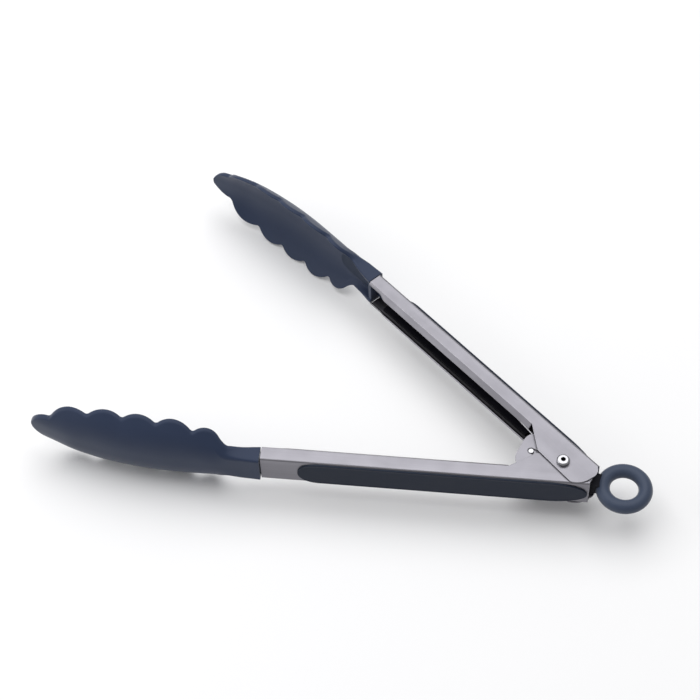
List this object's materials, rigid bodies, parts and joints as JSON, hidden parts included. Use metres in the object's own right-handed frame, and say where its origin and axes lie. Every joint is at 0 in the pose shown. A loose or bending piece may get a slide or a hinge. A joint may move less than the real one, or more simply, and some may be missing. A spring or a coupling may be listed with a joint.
{
  "type": "kitchen tongs",
  "caption": "Spring loaded kitchen tongs: folded steel arms on a rivet pivot, scalloped silicone heads, soft grips and a hang ring that pulls a lock.",
  "frame": {"origin": "under the middle of the whole object, at its lowest level, lying on its side in the open position", "axes": "+X along the middle line between the arms from the heads to the hang ring, +Y towards the outer arm, +Z along the pivot axis"},
  "size_m": [0.3222, 0.2038, 0.0456],
  "materials": {
    "brushed_stainless": "brushed along the arm",
    "bright_steel": "polished",
    "spring_steel": "drawn wire",
    "slate_silicone": "soft matte silicone",
    "ring_silicone": "satin silicone",
    "grip_rubber": "fine matte rubber",
    "black_nylon": "fine texture",
    "dark_nylon": "moulded"
  },
  "bodies": {
    "inner_arm": {"inner_arm": "brushed_stainless", "inner_grip_pad": "grip_rubber", "inner_grip_liner": "black_nylon", "inner_head_shell": "slate_silicone", "inner_head_core": "dark_nylon", "inner_head_rivet": "bright_steel", "pivot_rivet": "bright_steel", "torsion_spring": "spring_steel"},
    "outer_arm": {"outer_arm": "brushed_stainless", "outer_grip_pad": "grip_rubber", "outer_grip_liner": "black_nylon", "outer_head_shell": "slate_silicone", "outer_head_core": "dark_nylon", "outer_head_rivet": "bright_steel"},
    "lock_carrier": {"lock_plate_upper": "brushed_stainless", "lock_plate_lower": "brushed_stainless", "spring_spool": "black_nylon"},
    "pull_slider": {"pull_strap_upper": "brushed_stainless", "pull_strap_lower": "brushed_stainless", "lock_pin": "bright_steel", "link_pin": "bright_steel"},
    "hang_loop": {"ring_link": "black_nylon", "hang_ring": "ring_silicone"}
  },
  "joints": [
    {"name": "arm_hinge", "type": "hinge", "parent": "inner_arm", "child": "outer_arm", "pos_m": [0.11238, 0, 0.0228], "axis": [0, 0, 1], "range_deg": [0, 39.2], "stiffness_Nm_per_rad": 0.25, "springref_deg": -20.05, "deforming": ["torsion_spring"]},
    {"name": "carrier_turn", "type": "hinge", "parent": "inner_arm", "child": "lock_carrier", "pos_m": [0.11238, 0, 0.0228], "axis": [0, 0, 1], "range_deg": [0, 19.6]},
    {"name": "ring_pull", "type": "slide", "parent": "lock_carrier", "child": "pull_slider", "axis": [1, 0, 0], "range_m": [0, 0.006]},
    {"name": "ring_swing", "type": "hinge", "parent": "pull_slider", "child": "hang_loop", "pos_m": [0.12438, 0, 0.0228], "axis": [0, 0, 1], "range_deg": [-20, 0]}
  ],
  "couplings": [
    {"joint": "carrier_turn", "follows": "arm_hinge", "ratio": 0.5}
  ]
}
